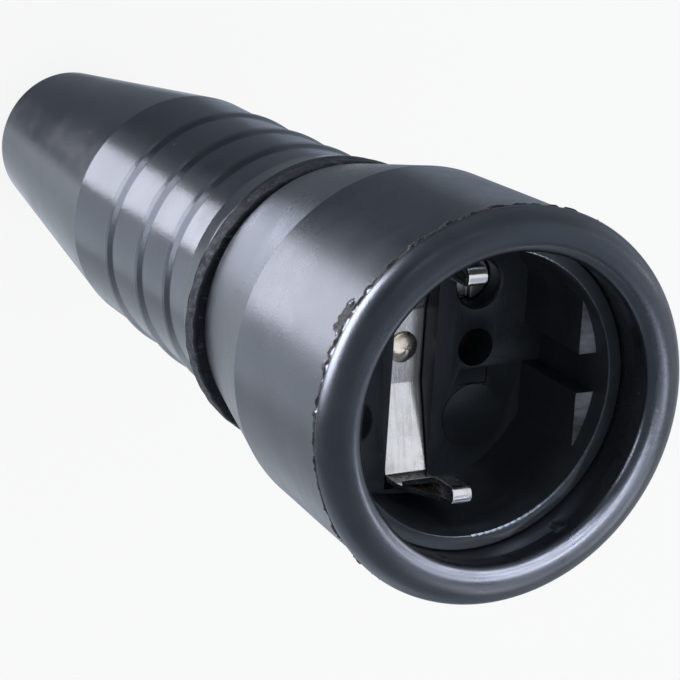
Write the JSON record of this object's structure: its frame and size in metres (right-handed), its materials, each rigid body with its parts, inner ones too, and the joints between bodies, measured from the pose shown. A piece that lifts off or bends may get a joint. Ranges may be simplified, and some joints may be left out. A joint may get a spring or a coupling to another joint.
{
  "type": "inline socket connector",
  "caption": "Round two-part rubber connector with a deep recessed socket, side earth clips, a stepped grip and a tapered cable tail.",
  "frame": {"origin": "centre of the cable tail's flat end, in the plane that it stands on", "axes": "+Z along the axis towards the mouth, +X through the right-hand pin hole, +Y along the earth strip"},
  "size_m": [0.055, 0.055, 0.1338],
  "materials": {
    "shell_rubber": "satin",
    "ring_rubber": "matte",
    "insert_plastic": "satin",
    "carrier_plastic": "satin",
    "nickel_plate": "bright nickel",
    "contact_brass": "bright",
    "zinc_steel": "zinc plated"
  },
  "bodies": {
    "root": {"front_body": "shell_rubber", "rear_boot": "shell_rubber", "joint_ring": "ring_rubber", "socket_insert": "insert_plastic", "contact_carrier": "carrier_plastic", "earth_clip": "nickel_plate", "earth_rivet": "contact_brass", "earth_terminal": "contact_brass", "pin_contact_left": "contact_brass", "pin_contact_right": "contact_brass", "contact_spring_left": "zinc_steel", "contact_spring_right": "zinc_steel", "terminal_screw_left": "zinc_steel", "terminal_screw_right": "zinc_steel", "earth_terminal_screw": "zinc_steel", "fixing_screw_upper": "zinc_steel", "fixing_screw_lower": "zinc_steel", "fixing_nut_upper": "zinc_steel", "fixing_nut_lower": "zinc_steel", "clamp_saddle": "zinc_steel", "clamp_screw_left": "zinc_steel", "clamp_screw_right": "zinc_steel"}
  },
  "joints": []
}
